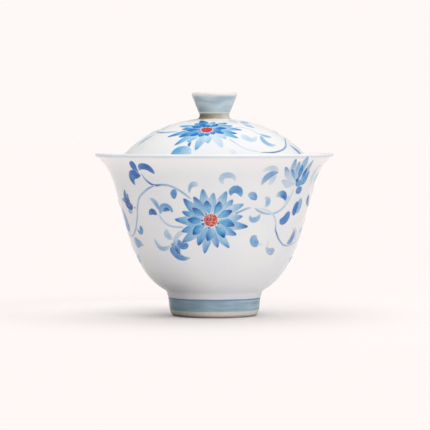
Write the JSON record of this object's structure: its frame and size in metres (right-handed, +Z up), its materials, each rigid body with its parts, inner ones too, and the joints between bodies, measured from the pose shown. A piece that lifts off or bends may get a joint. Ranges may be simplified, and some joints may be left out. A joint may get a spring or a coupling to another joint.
{
  "type": "gaiwan",
  "caption": "Lidded porcelain tea bowl with a flared rim, a ring foot and a domed drop-in lid with a cup-shaped knob, painted with blue blossoms on scrolling vines.",
  "frame": {"origin": "centre of the foot ring's standing face", "axes": "+Z up along the axis of the bowl and the lid"},
  "size_m": [0.1, 0.1, 0.0935],
  "materials": {
    "porcelain_glaze": "gloss",
    "blue_band_glaze": "gloss",
    "cobalt_paint": "gloss",
    "iron_red_paint": "gloss"
  },
  "bodies": {
    "bowl": {"bowl": "porcelain_glaze", "foot_ring": "blue_band_glaze"},
    "lid": {"lid": "porcelain_glaze", "knob": "blue_band_glaze"}
  },
  "joints": [
    {"name": "lid_lift", "type": "slide", "parent": "bowl", "child": "lid", "axis": [0, 0, 1], "range_m": [0, 0.06]}
  ]
}
